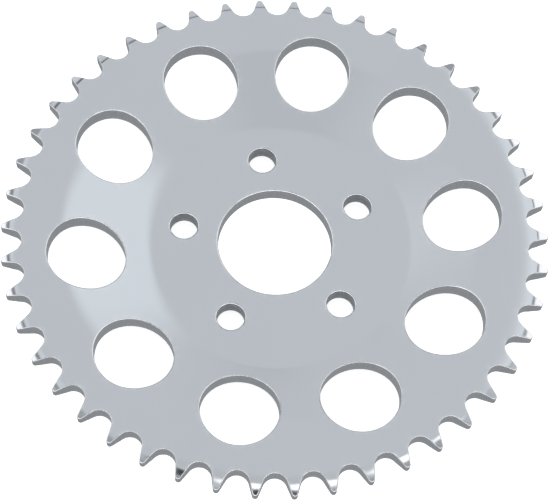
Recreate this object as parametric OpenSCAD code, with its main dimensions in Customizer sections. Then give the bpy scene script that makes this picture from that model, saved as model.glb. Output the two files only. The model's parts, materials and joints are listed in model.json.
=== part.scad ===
// Dished rear chain sprocket, one piece of 5/16 in steel plate, millimetres.
// Z is the wheel axis. The concave side is up, and the back face of the hub lies on z = 0.

/* [Chain and teeth] */
// Number of teeth
teeth = 46; // [45:1:48]
// Chain pitch, 5/8 in
chain_pitch = 15.875; // [15.6:0.025:16.2]
// Diameter of the chain's rollers
roller_d = 10.16; // [9.8:0.02:10.4]
// Play between a roller and its seat, on the radius
seat_play = 0.2; // [0.05:0.05:0.3]
// Tooth height above the root
tooth_height = 9.4; // [8.6:0.1:9.8]
// Angle between a flank and the centre line of its tooth
flank_angle = 18; // [16:0.5:19]

/* [Tip bevel] */
// How far below the tip the bevel on both faces starts
bevel_length = 4.6; // [2:0.1:5]
// Slope of the bevel against the face
bevel_angle = 14; // [8:1:20]

/* [Plate] */
// Thickness of the plate, 5/16 in
plate_t = 7.94; // [6:0.01:9]
// Depth of the hub below the rim, 1/2 in
dish_depth = 12.7; // [8:0.1:14]
// Radius where the hub's flat would meet the cone without a bend
cone_inner_r = 56.5; // [55:0.5:59]
// Radius where the cone would meet the rim's flat without a bend
cone_outer_r = 95; // [93:0.5:98]
// Radius of both bends, at the middle of the plate
bend_r = 38; // [20:1:42]

/* [Hub] */
// Diameter of the centre bore, 2 in
bore_d = 50.8; // [40:0.1:56]
// Number of mounting bolts
bolts = 5; // [4:1:6]
// Diameter of the bolt circle, 3 1/4 in
bolt_circle_d = 82.55; // [80:0.05:85]
// Diameter of a bolt hole
bolt_hole_d = 12.2; // [9:0.1:13]
// Angle of the first bolt hole from the first tooth
first_bolt_angle = 26.3; // [0:0.1:36]
// Width of the chamfer on the edges of the bore and the bolt holes
edge_chamfer = 1; // [0.2:0.1:1.2]

/* [Lightening holes] */
// Number of round holes through the cone
windows = 10; // [5:1:10]
// Diameter of a lightening hole
window_d = 33.8; // [20:0.1:36]
// Diameter of the circle through their centres
window_circle_d = 167; // [165:0.5:170]
// Angle of the first lightening hole from the first tooth
first_window_angle = 188.1; // [0:0.1:360]
// How far each step round the holes falls short of an even share; the last web takes up the rest
step_shortfall = 0.2; // [0:0.05:0.4]

/* [Hidden] */
$fn = 180;
// How far a cutter runs past the surface that it cuts
over = 2;
// How far a round end sinks into the straight flank beside it, so that the two cross cleanly
sink = 0.01;
// Straight steps along each bend of the dish
bend_steps = 8;

// Tooth outline. A gap is a round seat on the pitch circle, with a straight flank on each side.
half_pitch_angle = 180 / teeth;
pitch_r = chain_pitch / (2 * sin(half_pitch_angle));
seat_r = roller_d / 2 + seat_play;
tip_r = pitch_r - seat_r + tooth_height;
// Where the seat ends, seen with the gap's centre line along +X
seat_angle = 90 - flank_angle - half_pitch_angle;
seat_end = [pitch_r - seat_r * cos(seat_angle), seat_r * sin(seat_angle)];
// The same point, seen with the tooth's centre line along +X
seat_end_turn = half_pitch_angle - atan2(seat_end.y, seat_end.x);
flank_start = norm(seat_end) * [cos(seat_end_turn), sin(seat_end_turn)];
// Round tip that touches both flanks and reaches tip_r
tip_round_r = (flank_start.y * cos(flank_angle) - (tip_r - flank_start.x) * sin(flank_angle))
    / (1 - sin(flank_angle));
tip_centre_r = tip_r - tip_round_r;
flank_end = [tip_centre_r + tip_round_r * sin(flank_angle), tip_round_r * cos(flank_angle)];
// Corner of the gap's cutter, past the tips
gap_reach = tip_r + over - seat_end.x;
gap_mouth = seat_end + gap_reach * [1, tan(flank_angle + half_pitch_angle)];

// Dish, on the middle of the plate
half_t = plate_t / 2;
cone_angle = atan(dish_depth / (cone_outer_r - cone_inner_r));
bend_tangent = bend_r * tan(cone_angle / 2);
hub_bend_centre = [cone_inner_r - bend_tangent, half_t + bend_r];
rim_bend_centre = [cone_outer_r + bend_tangent, half_t + dish_depth - bend_r];
rim_top = dish_depth + plate_t;
bevel_start_r = tip_r - bevel_length;
bevel_drop = (bevel_length + over) * tan(bevel_angle);

// Angle from one lightening hole to the next
window_step = 360 / windows - step_shortfall;

// Points along an arc from angle a to angle b
function arc(centre, r, a, b) =
    [for (i = [0 : bend_steps]) centre + r * [cos(a + (b - a) * i / bend_steps),
                                              sin(a + (b - a) * i / bend_steps)]];

// The space that one roller needs between two teeth, centre line along +X
module tooth_gap() {
    translate([pitch_r, 0])
        circle(r = seat_r + sink);
    polygon([seat_end, gap_mouth, [gap_mouth.x, -gap_mouth.y], [seat_end.x, -seat_end.y]]);
}

// Flat outline of the toothed plate
module tooth_outline() {
    difference() {
        circle(r = norm(flank_end));
        for (i = [0 : teeth - 1])
            rotate((2 * i + 1) * half_pitch_angle)
                tooth_gap();
    }
    for (i = [0 : teeth - 1])
        rotate(2 * i * half_pitch_angle)
            translate([tip_centre_r, 0])
                circle(r = tip_round_r + sink);
}

// Half section through the plate: hub, bend, cone, bend, rim and bevelled tip
module dish_section() {
    lower = concat(
        arc(hub_bend_centre, bend_r + half_t, -90, cone_angle - 90),
        arc(rim_bend_centre, bend_r - half_t, 90 + cone_angle, 90)
    );
    upper = concat(
        arc(rim_bend_centre, bend_r + half_t, 90, 90 + cone_angle),
        arc(hub_bend_centre, bend_r - half_t, cone_angle - 90, -90)
    );
    tip = [
        [bevel_start_r, dish_depth],
        [tip_r + over, dish_depth + bevel_drop],
        [tip_r + over, rim_top - bevel_drop],
        [bevel_start_r, rim_top]
    ];
    polygon(concat([[0, 0]], lower, tip, upper, [[0, plate_t]]));
}

// Round hole along Z through the flat hub, with both edges broken
module chamfered_hole(r) {
    translate([0, 0, -over])
        cylinder(r = r, h = plate_t + 2 * over);
    translate([0, 0, -over])
        cylinder(r1 = r + edge_chamfer + over, r2 = r, h = edge_chamfer + over);
    translate([0, 0, plate_t - edge_chamfer])
        cylinder(r1 = r, r2 = r + edge_chamfer + over, h = edge_chamfer + over);
}

module sprocket_plate() {
    color([0.72, 0.74, 0.77])
        difference() {
            intersection() {
                rotate_extrude()
                    dish_section();
                linear_extrude(height = rim_top)
                    tooth_outline();
            }
            chamfered_hole(bore_d / 2);
            for (i = [0 : bolts - 1])
                rotate(first_bolt_angle + i * 360 / bolts)
                    translate([bolt_circle_d / 2, 0, 0])
                        chamfered_hole(bolt_hole_d / 2);
            for (i = [0 : windows - 1])
                rotate(first_window_angle + i * window_step)
                    translate([window_circle_d / 2, 0, -over])
                        cylinder(d = window_d, h = rim_top + 2 * over);
        }
}

sprocket_plate();
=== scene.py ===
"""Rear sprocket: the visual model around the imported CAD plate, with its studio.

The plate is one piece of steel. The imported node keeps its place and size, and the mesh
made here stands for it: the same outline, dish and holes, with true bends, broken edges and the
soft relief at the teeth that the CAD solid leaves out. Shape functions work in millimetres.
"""
import json
from math import atan, atan2, cos, hypot, pi, radians, sin, tan

import bpy
import numpy as np
from mathutils import Matrix, Vector
from mathutils.geometry import delaunay_2d_cdt

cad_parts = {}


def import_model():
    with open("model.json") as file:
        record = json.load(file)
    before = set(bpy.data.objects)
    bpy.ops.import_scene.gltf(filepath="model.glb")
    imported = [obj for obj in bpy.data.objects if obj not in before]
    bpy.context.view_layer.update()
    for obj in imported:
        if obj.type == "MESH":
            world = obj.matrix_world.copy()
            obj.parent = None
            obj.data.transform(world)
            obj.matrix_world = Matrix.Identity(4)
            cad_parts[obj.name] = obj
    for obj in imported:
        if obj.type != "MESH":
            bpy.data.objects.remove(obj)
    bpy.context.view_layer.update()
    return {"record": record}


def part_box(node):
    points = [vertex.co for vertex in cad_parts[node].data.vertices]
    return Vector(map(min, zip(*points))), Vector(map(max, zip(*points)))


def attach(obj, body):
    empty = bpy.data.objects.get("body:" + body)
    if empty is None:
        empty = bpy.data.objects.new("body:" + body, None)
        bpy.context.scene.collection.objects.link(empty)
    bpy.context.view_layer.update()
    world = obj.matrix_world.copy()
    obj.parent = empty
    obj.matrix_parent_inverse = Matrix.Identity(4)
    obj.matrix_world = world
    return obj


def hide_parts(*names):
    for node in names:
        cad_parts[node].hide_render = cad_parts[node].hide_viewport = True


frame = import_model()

MM = 0.001

# ---------------------------------------------------------------- sizes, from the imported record
RECORD = frame["record"]
MOUNTS = {mount["name"]: mount for mount in RECORD["mounts"]}
HIGHEST_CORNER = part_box("sprocket_plate")[1]
TIP_R = HIGHEST_CORNER[0] / MM
RIM_TOP = HIGHEST_CORNER[2] / MM
PLATE_T = MOUNTS["hub_front"]["pos_m"][2] / MM
HALF_T = PLATE_T / 2
DISH_DEPTH = RIM_TOP - PLATE_T
BORE_R = MOUNTS["bore"]["dims"]["r_mm"]
BOLTS = MOUNTS["bolts"]["dims"]["count"]
BOLT_CIRCLE_R = MOUNTS["bolts"]["dims"]["pcd_mm"] / 2
BOLT_HOLE_R = MOUNTS["bolts"]["dims"]["hole_r_mm"]

# Sizes that the record doesn't state, as in part.scad
TEETH = 46
CHAIN_PITCH = 15.875
SEAT_R = 5.28           # half a 10.16 mm roller, and 0.2 mm of play
FLANK_ANGLE = radians(18)
BEVEL_LENGTH = 5.1      # to where the soft corner ends; the CAD solid's sharp one is at 4.6
CONE_INNER_R = 56.5
CONE_OUTER_R = 95.0
BEND_R = 38.0
FIRST_BOLT = radians(26.3)
WINDOWS = 10
WINDOW_R = 16.9
WINDOW_CIRCLE_R = 83.5
FIRST_WINDOW = radians(188.1)
WINDOW_STEP = radians(360 / WINDOWS - 0.2)

# Detail that only this model has
BORE_EDGE = 1.0             # size of the broken edge round the bore and the bolt holes
WINDOW_EDGE = 0.7           # the same round the lightening holes
TOOTH_EDGE = 0.45           # and along the teeth
BACK_EDGE = 0.6             # height of a broken edge on the back, against the one on the front
EDGE_REACH = 1.6            # how far the finish of an edge reaches into the face beside it
RELIEF_START_R = 104.0      # where the polished face starts to fall away towards the teeth
RELIEF_SLOPE = 0.21         # how steep it has become where the bevel's corner starts
BEVEL_CORNER = 0.4          # length over which the bevel's slope comes in
BEVEL_FROM = radians(14.5)  # slope of the front's bevel after that corner
BEVEL_TO = radians(24)      # and at the tip, so that it is slightly rounded
BACK_BEVEL = radians(10)    # slope of the bevel on the back, straight to the tip

# Mesh: points round each loop and across each edge, and how far apart those inside a face lie
BORE_STEPS = 200
BOLT_STEPS = 72
WINDOW_STEPS = 144
TIP_STEPS = 8
FLANK_STEPS = 6
SEAT_STEPS = 14
EDGE_ROWS = 4               # strips across one broken edge
HUB_SPACING = 4.0           # from ring to ring
BEND_SPACING = 1.2
CONE_SPACING = 3.2
RIM_SPACING = 1.6
RELIEF_SPACING = 0.7
BEVEL_SPACING = 0.8
FINE_R = 110.0              # outside this radius the mesh is fine enough for the teeth
FINE_SPACING = 0.6          # along a ring there
WIDE_SPACING = 2.4          # along a ring inside that radius
FINE_CLEARANCE = TOOTH_EDGE + 0.2       # from the edge of the steel to the first inner points
WIDE_CLEARANCE = BORE_EDGE + 0.6
CORNER_CLEARANCE = 0.5      # from the bevel's corner to the even points of a flank
INSIDE_LOOPS = 1            # delaunay_2d_cdt's output type: triangles inside the loops only
PLAN_TOLERANCE = 1e-6

# ---------------------------------------------------------------- tooth outline
HALF_PITCH = pi / TEETH
PITCH_R = CHAIN_PITCH / (2 * sin(HALF_PITCH))
SEAT_ANGLE = pi / 2 - FLANK_ANGLE - HALF_PITCH
BEVEL_START_R = TIP_R - BEVEL_LENGTH


def turned(point, angle):
    """A point turned about the wheel axis."""
    c, s = cos(angle), sin(angle)
    return (c * point[0] - s * point[1], s * point[0] + c * point[1])


def flank_ends():
    """Start of a flank at its seat, its end at the tip, and the tip's radius, tooth along +X."""
    seat_end = (PITCH_R - SEAT_R * cos(SEAT_ANGLE), SEAT_R * sin(SEAT_ANGLE))
    turn = HALF_PITCH - atan2(seat_end[1], seat_end[0])
    start = (hypot(*seat_end) * cos(turn), hypot(*seat_end) * sin(turn))
    drop = (TIP_R - start[0]) * sin(FLANK_ANGLE)
    tip_round = (start[1] * cos(FLANK_ANGLE) - drop) / (1 - sin(FLANK_ANGLE))
    centre = TIP_R - tip_round
    end = (centre + tip_round * sin(FLANK_ANGLE), tip_round * cos(FLANK_ANGLE))
    return start, end, tip_round


FLANK_START, FLANK_END, TIP_ROUND = flank_ends()


def flank_points():
    """Upper flank of a tooth along +X, from seat to tip, closely spaced where the bevel starts."""
    length = hypot(FLANK_END[0] - FLANK_START[0], FLANK_END[1] - FLANK_START[1])
    corner = (BEVEL_START_R - FLANK_START[0]) / cos(FLANK_ANGLE)
    even = np.linspace(0, length, FLANK_STEPS + 1)[1:-1]
    steps = {s for s in even if abs(s - corner) > CORNER_CLEARANCE}
    steps |= {corner + k * BEVEL_CORNER / 2 for k in (-2, -1, 0, 1)}
    return [(FLANK_START[0] + s * cos(FLANK_ANGLE), FLANK_START[1] - s * sin(FLANK_ANGLE))
            for s in sorted(steps)]


def half_tooth():
    """Points and outward normals from the middle of the tip down the +Y side to the gap's root."""
    out = []
    for i in range(TIP_STEPS + 1):
        a = (pi / 2 - FLANK_ANGLE) * i / TIP_STEPS
        point = (TIP_R - TIP_ROUND + TIP_ROUND * cos(a), TIP_ROUND * sin(a))
        out.append((point, (cos(a), sin(a))))
    normal = (sin(FLANK_ANGLE), cos(FLANK_ANGLE))
    out += [(p, normal) for p in reversed(flank_points())]
    for i in range(SEAT_STEPS + 1):
        a = pi + SEAT_ANGLE * (1 - i / SEAT_STEPS)
        point = (PITCH_R + SEAT_R * cos(a), SEAT_R * sin(a))
        out.append((turned(point, HALF_PITCH), turned((-cos(a), -sin(a)), HALF_PITCH)))
    return out


def outer_loop():
    """The whole toothed outline, anticlockwise, as points and outward normals."""
    half = half_tooth()
    mirrored = [((p[0], -p[1]), (n[0], -n[1])) for p, n in reversed(half)]
    tooth = mirrored[1:-1] + half
    points, normals = [], []
    for k in range(TEETH):
        angle = 2 * k * HALF_PITCH
        points += [turned(p, angle) for p, n in tooth]
        normals += [turned(n, angle) for p, n in tooth]
    return np.array(points), np.array(normals)


def hole_loop(centre, r, steps):
    """A round hole's edge, anticlockwise; its normals point out of the steel, to the centre."""
    a = np.arange(steps) * 2 * pi / steps
    ring = np.column_stack([np.cos(a), np.sin(a)])
    return np.array(centre) + r * ring, -ring


# ---------------------------------------------------------------- dish profile
CONE_ANGLE = atan(DISH_DEPTH / (CONE_OUTER_R - CONE_INNER_R))
BEND_TANGENT = BEND_R * tan(CONE_ANGLE / 2)
HUB_BEND = (CONE_INNER_R - BEND_TANGENT, HALF_T + BEND_R)
RIM_BEND = (CONE_OUTER_R + BEND_TANGENT, HALF_T + DISH_DEPTH - BEND_R)


def rim_drop(r, side):
    """How far a face of the rim has fallen away at radius r: the upper face's relief, and bevel."""
    if side == 1:
        start, first, last = RELIEF_SLOPE, tan(BEVEL_FROM), tan(BEVEL_TO)
    else:
        start, first, last = 0.0, tan(BACK_BEVEL), tan(BACK_BEVEL)
    span = BEVEL_START_R - BEVEL_CORNER - RELIEF_START_R
    along = np.clip(r - RELIEF_START_R, 0, span)
    relief = start * along ** 4 / (4 * span ** 3)
    turn = np.clip(r - BEVEL_START_R + BEVEL_CORNER, 0, BEVEL_CORNER)
    corner = start * turn + (first - start) * turn ** 2 / (2 * BEVEL_CORNER)
    past = np.clip(r - BEVEL_START_R, 0, None)
    return relief + corner + first * past + (last - first) * past ** 2 / (2 * BEVEL_LENGTH)


def face_height(r, side):
    """Height of the upper (side 1) or lower (side -1) face at radius r."""
    r = np.asarray(r, float)
    inner = BEND_R - side * HALF_T
    outer = BEND_R + side * HALF_T
    hub = np.full(r.shape, HALF_T + side * HALF_T)
    inner_bend = HUB_BEND[1] - np.sqrt(np.maximum(inner ** 2 - (r - HUB_BEND[0]) ** 2, 0))
    cone = HALF_T + (r - CONE_INNER_R) * tan(CONE_ANGLE) + side * HALF_T / cos(CONE_ANGLE)
    outer_bend = RIM_BEND[1] + np.sqrt(np.maximum(outer ** 2 - (r - RIM_BEND[0]) ** 2, 0))
    rim = HALF_T + DISH_DEPTH + side * (HALF_T - rim_drop(r, side))
    cone_from = HUB_BEND[0] + inner * sin(CONE_ANGLE)
    cone_to = RIM_BEND[0] - outer * sin(CONE_ANGLE)
    return np.select([r < HUB_BEND[0], r < cone_from, r < cone_to, r < RIM_BEND[0]],
                     [hub, inner_bend, cone, outer_bend], rim)


def face_normals(points, side):
    """Unit normals of a face above plan points, out of the steel."""
    r = np.hypot(points[:, 0], points[:, 1])
    step = 0.01
    slope = (face_height(r + step, side) - face_height(r - step, side)) / (2 * step)
    radial = points / r[:, None]
    n = np.column_stack([-slope[:, None] * radial, np.ones(len(r))]) * side
    return n / np.linalg.norm(n, axis=1)[:, None]


# ---------------------------------------------------------------- plan of one face
# Each hole: centre, radius, points round it, size of its broken edge
HOLES = [((0.0, 0.0), BORE_R, BORE_STEPS, BORE_EDGE)]
for k in range(BOLTS):
    centre = turned((BOLT_CIRCLE_R, 0), FIRST_BOLT + 2 * pi * k / BOLTS)
    HOLES.append((centre, BOLT_HOLE_R, BOLT_STEPS, BORE_EDGE))
for k in range(WINDOWS):
    centre = turned((WINDOW_CIRCLE_R, 0), FIRST_WINDOW + k * WINDOW_STEP)
    HOLES.append((centre, WINDOW_R, WINDOW_STEPS, WINDOW_EDGE))


def depth_in_steel(points):
    """Distance from plan points to the nearest edge, negative outside the steel."""
    r = np.hypot(points[:, 0], points[:, 1])
    a = np.arctan2(points[:, 1], points[:, 0])
    folded = np.abs((a + HALF_PITCH) % (2 * HALF_PITCH) - HALF_PITCH)
    x, y = r * np.cos(folded), r * np.sin(folded)
    seat = np.array(turned((PITCH_R, 0), HALF_PITCH))
    to_seat = np.hypot(x - seat[0], y - seat[1]) - SEAT_R
    along = (x - FLANK_START[0]) * cos(FLANK_ANGLE) - (y - FLANK_START[1]) * sin(FLANK_ANGLE)
    across = -(x - FLANK_START[0]) * sin(FLANK_ANGLE) - (y - FLANK_START[1]) * cos(FLANK_ANGLE)
    tip = TIP_ROUND - np.hypot(x - (TIP_R - TIP_ROUND), y)
    past_tip = x > FLANK_END[0]
    depth = np.where(past_tip, tip, np.where(along > 0, across, to_seat))
    for centre, radius, _, _ in HOLES:
        to_hole = np.hypot(points[:, 0] - centre[0], points[:, 1] - centre[1]) - radius
        depth = np.minimum(depth, to_hole)
    return depth


def ring_radii():
    """Radii of the rings of inner points: close in the bends and at the teeth, wide elsewhere."""
    cone_from = CONE_INNER_R + BEND_TANGENT
    cone_to = CONE_OUTER_R - BEND_TANGENT
    hub = np.arange(BORE_R + 3, HUB_BEND[0] - 1, HUB_SPACING)
    inner_bend = np.arange(HUB_BEND[0], cone_from + BEND_SPACING, BEND_SPACING)
    cone = np.arange(cone_from + 3, cone_to - 2, CONE_SPACING)
    outer_bend = np.arange(cone_to - BEND_SPACING / 2, RIM_BEND[0] + BEND_SPACING / 2, BEND_SPACING)
    rim = np.arange(RIM_BEND[0] + 2.2, FINE_R, RIM_SPACING)
    relief = np.arange(FINE_R + 0.4, BEVEL_START_R - BEVEL_CORNER - 0.3, RELIEF_SPACING)
    corner = BEVEL_START_R + BEVEL_CORNER * np.array([-1, -0.5, 0])
    bevel = np.arange(BEVEL_START_R + BEVEL_SPACING, TIP_R, BEVEL_SPACING)
    return np.concatenate([hub, inner_bend, cone, outer_bend, rim, relief, corner, bevel])


def inner_points():
    """Points inside the face, on rings, clear of every edge."""
    out = []
    for r in ring_radii():
        spacing = FINE_SPACING if r > FINE_R else WIDE_SPACING
        count = TEETH * round(2 * pi * r / spacing / TEETH)
        a = (np.arange(count) + 0.5) * 2 * pi / count
        out.append(np.column_stack([r * np.cos(a), r * np.sin(a)]))
    points = np.concatenate(out)
    r = np.hypot(points[:, 0], points[:, 1])
    clearance = np.where(r > FINE_R, FINE_CLEARANCE, WIDE_CLEARANCE)
    return points[depth_in_steel(points) > clearance]


def build_plate():
    """The plate as one closed mesh with analytic normals."""
    loops = [(outer_loop(), TOOTH_EDGE)]
    loops += [(hole_loop(centre, r, steps), edge) for centre, r, steps, edge in HOLES]
    edge_plan = [points - edge * normals for (points, normals), edge in loops]
    inner = inner_points()
    plan = np.concatenate(edge_plan + [inner])

    links, starts, owner = [], [], -np.ones(len(plan), int)
    start = 0
    for i, ring in enumerate(edge_plan):
        n = len(ring)
        links += [(start + k, start + (k + 1) % n) for k in range(n)]
        owner[start:start + n] = i
        starts.append(start)
        start += n
    corners, _, filled, sources, _, _ = delaunay_2d_cdt(
        [Vector(p) for p in plan.tolist()], links, [], INSIDE_LOOPS, PLAN_TOLERANCE)
    if len(corners) != len(plan):
        raise RuntimeError(f"the plan changed from {len(plan)} to {len(corners)} points")
    source = np.array([ids[0] for ids in sources])
    triangles = source[np.array(filled)]

    # The triangles that fill a hole have all three corners on its loop
    owners = owner[triangles]
    in_hole = (owners[:, 0] > 0) & (owners[:, 0] == owners[:, 1]) & (owners[:, 0] == owners[:, 2])
    triangles = triangles[~in_hole]

    points, normals, faces = [], [], []
    finish = {"wall": [], "edge": []}

    def add(xy, z, normal, wall, edge):
        """Add points with their normals and finish; returns the number of the first."""
        first = sum(len(p) for p in points)
        points.append(np.column_stack([xy, z]))
        normals.append(normal)
        finish["wall"].append(np.broadcast_to(wall, len(xy)))
        finish["edge"].append(np.broadcast_to(edge, len(xy)))
        return first

    face_first = {}
    for side in (1, -1):
        r = np.hypot(plan[:, 0], plan[:, 1])
        near = np.clip(1 - (depth_in_steel(plan) - TOOTH_EDGE) / EDGE_REACH, 0, 1)
        face_first[side] = add(plan, face_height(r, side), face_normals(plan, side), 0, near)
        order = triangles if side == 1 else triangles[:, ::-1]
        faces += (order + face_first[side]).tolist()

    # Walls: from the upper face over its broken edge, down the wall, to the lower face
    wall_faces = []
    for i, ((edge_points, out), edge) in enumerate(loops):
        n = len(edge_points)
        r = np.hypot(edge_points[:, 0], edge_points[:, 1])
        wall_normal = np.column_stack([out, np.zeros(n)])
        rows = [face_first[1] + starts[i]]
        middle_z = (face_height(r, 1) + face_height(r, -1)) / 2
        for side in (1, -1):
            top = np.column_stack([edge_plan[i], face_height(np.hypot(*edge_plan[i].T), side)])
            sharp = np.column_stack([edge_points, face_height(r, side)])
            low = sharp - [0, 0, edge if side == 1 else -BACK_EDGE * edge]
            top_normal = face_normals(edge_plan[i], side)
            strip = []
            for k in range(1, EDGE_ROWS + 1):
                t = k / EDGE_ROWS
                p = (1 - t) ** 2 * top + 2 * t * (1 - t) * sharp + t ** 2 * low
                m = (1 - t) * top_normal + t * wall_normal
                strip.append((p, m / np.linalg.norm(m, axis=1)[:, None], t))
            for p, m, t in (strip if side == 1 else reversed(strip)):
                rows.append(add(p[:, :2], p[:, 2], m, t, 1))
            if side == 1:
                rows.append(add(edge_points, middle_z, wall_normal, 1, 0))
        rows.append(face_first[-1] + starts[i])
        for upper, lower in zip(rows, rows[1:]):
            for k in range(n):
                j = (k + 1) % n
                quad = [upper + k, lower + k, lower + j, upper + j]
                wall_faces.append(quad if i == 0 else quad[::-1])

    mesh = bpy.data.meshes.new("sprocket")
    everything = np.concatenate(points) * MM
    mesh.from_pydata(everything.tolist(), [], faces + wall_faces)
    mesh.update()
    mesh.polygons.foreach_set("use_smooth", [True] * len(mesh.polygons))
    mesh.normals_split_custom_set_from_vertices(np.concatenate(normals).tolist())
    for name, values in finish.items():
        attribute = mesh.attributes.new(name, "FLOAT", "POINT")
        attribute.data.foreach_set("value", np.concatenate(values).astype(np.float32))
    plate = bpy.data.objects.new("sprocket", mesh)
    bpy.context.scene.collection.objects.link(plate)
    return plate


# ---------------------------------------------------------------- nodes
def math_node(tree, operation, *values):
    """A Math node; each value is a number or another node's output."""
    node = tree.nodes.new("ShaderNodeMath")
    node.operation = operation
    for socket, value in zip(node.inputs, values):
        if isinstance(value, bpy.types.NodeSocket):
            tree.links.new(value, socket)
        else:
            socket.default_value = value
    return node.outputs[0]


def ramp(tree, value, start, end):
    """A smooth step from 0 at start to 1 at end."""
    node = tree.nodes.new("ShaderNodeMapRange")
    node.interpolation_type = "SMOOTHSTEP"
    tree.links.new(value, node.inputs["Value"])
    node.inputs["From Min"].default_value = start
    node.inputs["From Max"].default_value = end
    return node.outputs["Result"]


def blend(tree, factor, first, second):
    """Mix of two colours; each is a colour or another node's output."""
    node = tree.nodes.new("ShaderNodeMix")
    node.data_type = "RGBA"
    tree.links.new(factor, node.inputs["Factor"])
    for socket, value in ((node.inputs[6], first), (node.inputs[7], second)):
        if isinstance(value, bpy.types.NodeSocket):
            tree.links.new(value, socket)
        else:
            socket.default_value = (*value, 1)
    return node.outputs[2]


def tinted(tint, brightness):
    """A tint at a brightness."""
    return tuple(brightness * c for c in tint)


def noise(tree, vector, scale, detail, roughness):
    """A Noise texture's value, 0 to 1."""
    node = tree.nodes.new("ShaderNodeTexNoise")
    tree.links.new(vector, node.inputs["Vector"])
    for name, number in (("Scale", scale), ("Detail", detail), ("Roughness", roughness)):
        node.inputs[name].default_value = number
    return node.outputs["Fac"]


def stretched(tree, axes, factors):
    """A vector from three outputs, each times its factor."""
    node = tree.nodes.new("ShaderNodeCombineXYZ")
    for axis, factor, socket in zip(axes, factors, node.inputs):
        tree.links.new(math_node(tree, "MULTIPLY", axis, factor), socket)
    return node.outputs[0]


def bumped(tree, height, distance, below=None):
    """A Bump node; distance is in metres."""
    node = tree.nodes.new("ShaderNodeBump")
    node.inputs["Strength"].default_value = 1.0
    node.inputs["Distance"].default_value = distance
    tree.links.new(height, node.inputs["Height"])
    if below is not None:
        tree.links.new(below, node.inputs["Normal"])
    return node.outputs[0]


def surface_attribute(tree, name):
    """The value that build_plate gave each point of the mesh: wall or edge, 0 to 1."""
    node = tree.nodes.new("ShaderNodeAttribute")
    node.attribute_name = name
    return node.outputs["Fac"]


# ---------------------------------------------------------------- material
# Darkest and lightest colour of the plating, and of the walls cut through it
PLATING = ((0.705, 0.728, 0.762), (0.735, 0.752, 0.778))
CUT_WALL = ((0.60, 0.61, 0.63), (0.76, 0.77, 0.79))
# Painted shade: the colour of the bolt holes' walls, darkened as if in shadow
BOLT_HOLE_PAINTED_SHADE = (0.42, 0.43, 0.45)
WORN_EDGE = (0.84, 0.85, 0.86)
# Radii between which every wall belongs to a bolt hole and gets the painted shade, with the soft
# ends of that ring
BOLT_SHADE_RING = (31 * MM, 33 * MM, 48 * MM, 50 * MM)
# Noise patterns: cells to a metre, detail and roughness
CLOUDS = (26, 3.0, 0.55)
WAVES = (55, 1.0, 0.4)
WEAR = (420, 3.0, 0.6)
GRAIN = (2600, 2.0, 0.6)
STREAKS = (1.0, 3.0, 0.6)           # over the stretched axes below
MARK_STRETCH = (1700, 9, 9)         # radius in metres, and the turn's cosine and sine
CUT_STRETCH = (1500, 1500, 70)      # X, Y and Z in metres
# Where the wear on the edges starts in its pattern and is complete, and how much it lightens
WEAR_RANGE = (0.42, 0.62)
WEAR_SHARE = 0.5
# Roughness of the plainest face, and how much each pattern adds
PLAIN_ROUGHNESS = 0.06
CLOUD_ROUGHNESS = 0.04
MARK_ROUGHNESS = 0.02
CUT_ROUGHNESS = 0.30
WEAR_ROUGHNESS = 0.05
# Height of each pattern in metres
WAVE_HEIGHT = 12e-6
GRAIN_HEIGHT = 0.25e-6
MARK_HEIGHT = 0.5e-6
CUT_HEIGHT = 12e-6


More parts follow.
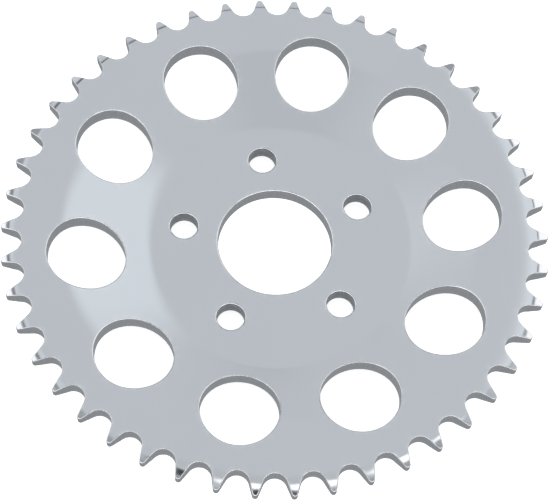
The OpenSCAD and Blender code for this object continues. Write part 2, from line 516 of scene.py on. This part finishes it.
def plated_steel():
    """Bright plating: polished faces, marked round the axis, duller cut walls, painted shade in the
    bolt holes and worn edges.
    """
    material = bpy.data.materials.new("plated_steel")
    material.use_nodes = True
    tree = material.node_tree
    shader = tree.nodes["Principled BSDF"]
    shader.inputs["Metallic"].default_value = 1.0

    place = tree.nodes.new("ShaderNodeTexCoord").outputs["Object"]
    split = tree.nodes.new("ShaderNodeSeparateXYZ")
    tree.links.new(place, split.inputs[0])
    x, y, z = split.outputs
    wall = surface_attribute(tree, "wall")
    edge = surface_attribute(tree, "edge")
    face = math_node(tree, "SUBTRACT", 1.0, wall)

    # Patterns: clouds over centimetres, polishing marks round the axis, cuts down the walls
    clouds = noise(tree, place, *CLOUDS)
    waves = noise(tree, place, *WAVES)
    grain = noise(tree, place, *GRAIN)
    r = math_node(tree, "MULTIPLY_ADD", x, x, math_node(tree, "MULTIPLY", y, y))
    r = math_node(tree, "SQRT", r)
    turn = (math_node(tree, "DIVIDE", x, r), math_node(tree, "DIVIDE", y, r))
    marks = noise(tree, stretched(tree, (r, *turn), MARK_STRETCH), *STREAKS)
    cuts = noise(tree, stretched(tree, (x, y, z), CUT_STRETCH), *STREAKS)
    worn = ramp(tree, noise(tree, place, *WEAR), *WEAR_RANGE)
    worn = math_node(tree, "MULTIPLY", edge, worn)

    # Colour: plating, duller on the walls, painted shade darkening the bolt-hole walls, lighter on
    # worn edges
    past_bore = ramp(tree, r, *BOLT_SHADE_RING[:2])
    before_windows = ramp(tree, r, BOLT_SHADE_RING[3], BOLT_SHADE_RING[2])
    bolt_shade_mask = math_node(tree, "MULTIPLY", past_bore, before_windows)
    # Painted shade: walls in the bolt-hole ring take a darker colour that stands in for shadow
    wall_tone_and_painted_shade = blend(tree, bolt_shade_mask, blend(tree, cuts, *CUT_WALL), BOLT_HOLE_PAINTED_SHADE)
    shade = blend(tree, wall, blend(tree, clouds, *PLATING), wall_tone_and_painted_shade)
    shade = blend(tree, math_node(tree, "MULTIPLY", worn, WEAR_SHARE), shade, WORN_EDGE)
    tree.links.new(shade, shader.inputs["Base Color"])

    # Roughness: 0.06 to 0.12 on the faces, about 0.25 on the walls
    wall_cuts = math_node(tree, "MULTIPLY", wall, cuts)
    rough = math_node(tree, "MULTIPLY_ADD", clouds, CLOUD_ROUGHNESS, PLAIN_ROUGHNESS)
    rough = math_node(tree, "MULTIPLY_ADD", marks, MARK_ROUGHNESS, rough)
    rough = math_node(tree, "MULTIPLY_ADD", wall_cuts, CUT_ROUGHNESS, rough)
    rough = math_node(tree, "MULTIPLY_ADD", worn, WEAR_ROUGHNESS, rough)
    tree.links.new(rough, shader.inputs["Roughness"])

    # Relief: slow waves in the polish, grain, marks on the faces and cuts on the walls
    relief = bumped(tree, waves, WAVE_HEIGHT)
    relief = bumped(tree, grain, GRAIN_HEIGHT, relief)
    relief = bumped(tree, math_node(tree, "MULTIPLY", marks, face), MARK_HEIGHT, relief)
    relief = bumped(tree, wall_cuts, CUT_HEIGHT, relief)
    tree.links.new(relief, shader.inputs["Normal"])
    return material


# ---------------------------------------------------------------- studio
FLOOR_SIZE = 6
FLOOR_GREY = 0.9
FLOOR_GLOW = 0.7

ROOM = (0.662, 0.690, 0.712)     # the light grey walls and ceiling of the studio
WHITE = (1.0, 1.0, 1.0)
BELOW = (2, -8, 0.50)            # elevations over which the room darkens, and its brightness below

# Round lights and flags: azimuth from +X and elevation of the centre, radius, soft edge (degrees),
# tint and brightness. Each one covers those before it.
GLOW = [
    (40, 0, 63, 6.0, ROOM, 1.30),      # glow round the softbox on the right
]
CAPS = [
    (270, 86, 11, 5.0, ROOM, 0.92),    # ceiling over the camera
    (176, 0, 63, 4.5, ROOM, 1.16),     # glow round the softbox on the left
    (13, -4, 54, 1.0, ROOM, 0.52),     # frame of the softbox on the right
    (13, -4, 49.5, 1.0, WHITE, 1.3),   # the softbox
    (187, -10, 66, 1.0, ROOM, 0.42),   # frame of the softbox on the left
    (187, -10, 61, 1.0, WHITE, 1.3),   # the softbox
]
OVERHEAD = [
    (262, 72.5, 4.5, 1.5, WHITE, 1.8),      # strip of light overhead
    (296, 70.5, 5, 1.5, WHITE, 1.8),
    (330, 65.5, 4.5, 1.5, WHITE, 1.8),
    (348, 61.5, 2.5, 1.5, WHITE, 1.8),
    (231, 67.5, 5, 1.5, ROOM, 0.08),        # a clamp
    (272, 63, 6, 1.5, ROOM, 0.04),          # the photographer's camera
]
# Bands: azimuth of the middle, half width, lowest and highest elevation, soft edge (degrees),
# tint and brightness
SHADE = [
    (110, 46, -10, 70, 8.0, ROOM, 1.0),     # back wall, out of the glow
]
BANDS = [
    (0, 190, -10, 12, 4.0, ROOM, 1.10),     # low wall all round, before the softboxes' feet
    (87, 23, 27, 31, 1.5, ROOM, 0.22),      # gap between the back wall and the ceiling
    (118, 9, 31, 36, 1.5, ROOM, 0.22),      # and its end
    (62, 6.5, -10, 31, 1.5, ROOM, 0.60),    # stand beside the softbox on the right
    (350, 16, 36, 60, 2.0, ROOM, 0.88),     # flag over that softbox
    (131.5, 6.5, -10, 37, 1.5, ROOM, 0.58),  # stand beside the softbox on the left
    (265, 78, 38, 62, 3.0, ROOM, 0.62),     # darker room behind the camera
    (265, 66, 16, 35, 2.0, WHITE, 2.4),     # strip of light there
]


def floor():
    """Plain white floor. The metal doesn't mirror it, and what it does mirror is the studio."""
    bpy.ops.mesh.primitive_plane_add(size=FLOOR_SIZE)
    plane = bpy.context.object
    plane.name = "floor"
    material = bpy.data.materials.new("floor")
    material.use_nodes = True
    shader = material.node_tree.nodes["Principled BSDF"]
    shader.inputs["Base Color"].default_value = (FLOOR_GREY, FLOOR_GREY, FLOOR_GREY, 1)
    shader.inputs["Roughness"].default_value = 1.0
    shader.inputs["Emission Color"].default_value = (1, 1, 1, 1)
    shader.inputs["Emission Strength"].default_value = FLOOR_GLOW
    plane.data.materials.append(material)
    plane.visible_glossy = False


def add_caps(tree, light, axes, caps):
    """Lay round lights or flags over the light from each direction."""
    x, y, z = axes
    for azimuth, height, radius, edge, tint, brightness in caps:
        a, h = radians(azimuth), radians(height)
        along = math_node(tree, "MULTIPLY", x, cos(a) * cos(h))
        along = math_node(tree, "MULTIPLY_ADD", y, sin(a) * cos(h), along)
        along = math_node(tree, "MULTIPLY_ADD", z, sin(h), along)
        angle = math_node(tree, "ARCCOSINE", along)
        inside = ramp(tree, angle, radians(radius + edge), radians(radius - edge))
        light = blend(tree, inside, light, tinted(tint, brightness))
    return light


def add_bands(tree, light, axes, bands):
    """Lay bands of azimuth and elevation over the light from each direction."""
    x, y, z = axes
    elevation = math_node(tree, "ARCSINE", z)
    for azimuth, half_width, low, high, edge, tint, brightness in bands:
        a = radians(azimuth)
        forward = math_node(tree, "MULTIPLY", x, cos(a))
        forward = math_node(tree, "MULTIPLY_ADD", y, sin(a), forward)
        sideways = math_node(tree, "MULTIPLY", x, -sin(a))
        sideways = math_node(tree, "MULTIPLY_ADD", y, cos(a), sideways)
        off = math_node(tree, "ABSOLUTE", math_node(tree, "ARCTAN2", sideways, forward))
        inside = ramp(tree, off, radians(half_width + edge), radians(half_width - edge))
        above = ramp(tree, elevation, radians(low - edge), radians(low + edge))
        below = ramp(tree, elevation, radians(high + edge), radians(high - edge))
        inside = math_node(tree, "MULTIPLY", inside, math_node(tree, "MULTIPLY", above, below))
        light = blend(tree, inside, light, tinted(tint, brightness))
    return light


def world():
    """The studio that the metal mirrors: light grey walls and ceiling, soft lights and stands."""
    surroundings = bpy.data.worlds.new("studio")
    surroundings.use_nodes = True
    tree = surroundings.node_tree
    split = tree.nodes.new("ShaderNodeSeparateXYZ")
    tree.links.new(tree.nodes.new("ShaderNodeTexCoord").outputs["Generated"], split.inputs[0])
    axes = tuple(split.outputs)

    # Each list covers those before it, and the dark below the horizon covers them all
    light = add_caps(tree, ROOM, axes, GLOW)
    light = add_bands(tree, light, axes, SHADE)
    light = add_caps(tree, light, axes, CAPS)
    light = add_bands(tree, light, axes, BANDS)
    light = add_caps(tree, light, axes, OVERHEAD)
    start, end, brightness = BELOW
    below = ramp(tree, math_node(tree, "ARCSINE", axes[2]), radians(start), radians(end))
    light = blend(tree, below, light, tinted(ROOM, brightness))
    tree.links.new(light, tree.nodes["Background"].inputs["Color"])
    bpy.context.scene.world = surroundings


def camera():
    """The reference view: from the near side, well above the plate."""
    target = Vector((-0.4, -8.2, RIM_TOP - HALF_T)) * MM
    azimuth, elevation, roll = radians(4.84), radians(64.88), radians(5.56)
    distance = 739.5 * MM
    level = cos(elevation)
    forward = Vector((sin(azimuth) * level, cos(azimuth) * level, -sin(elevation)))
    right = forward.cross(Vector((0, 0, 1))).normalized()
    up = right.cross(forward)
    right, up = right * cos(roll) + up * sin(roll), up * cos(roll) - right * sin(roll)
    data = bpy.data.cameras.new("camera")
    data.lens = 110.5
    data.sensor_width = 36
    data.clip_start = 0.01
    eye = bpy.data.objects.new("camera", data)
    turn = Matrix((right, up, -forward)).transposed().to_4x4()
    eye.matrix_world = Matrix.Translation(target - forward * distance) @ turn
    bpy.context.scene.collection.objects.link(eye)
    bpy.context.scene.camera = eye


# ---------------------------------------------------------------- scene
bpy.context.scene.view_settings.view_transform = "Standard"
camera()
world()
floor()
plate = build_plate()
plate.data.materials.append(plated_steel())
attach(plate, "root")
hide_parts("sprocket_plate")
